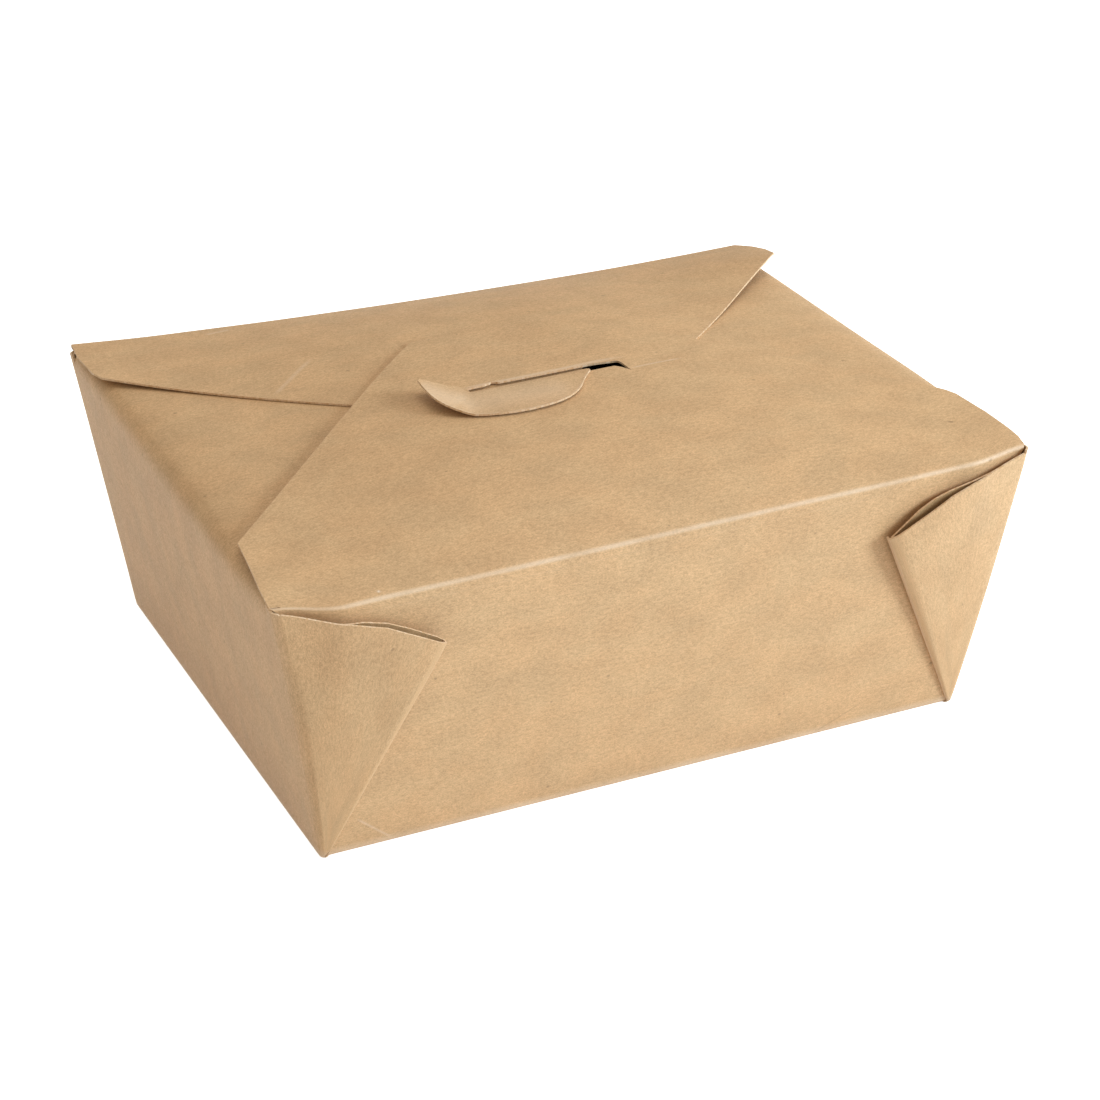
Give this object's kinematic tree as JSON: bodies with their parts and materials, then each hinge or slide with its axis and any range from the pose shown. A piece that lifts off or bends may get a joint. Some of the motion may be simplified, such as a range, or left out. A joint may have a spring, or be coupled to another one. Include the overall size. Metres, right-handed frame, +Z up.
{
  "type": "takeout box",
  "caption": "Closed kraft board food carton with flaring walls, pleated corners and a lid flap locked by a tongue in a slit; the lid flap swings open.",
  "frame": {"origin": "centre of the base, on the surface that the carton stands on", "axes": "+X along the long walls, -Y towards the front wall that carries the locked lid flap, +Z up"},
  "size_m": [0.1736, 0.1382, 0.0754],
  "materials": {
    "kraft_board": "matt unprinted brown kraft board"
  },
  "bodies": {
    "tray": {"carton": "kraft_board", "lock_tongue": "kraft_board"},
    "lid": {"front_flap": "kraft_board"}
  },
  "joints": [
    {"name": "front_flap_fold", "type": "hinge", "parent": "tray", "child": "lid", "pos_m": [0, -0.0655, 0.0635], "axis": [1, 0, 0], "range_deg": [0, 170], "deforming": ["lock_tongue"]}
  ]
}
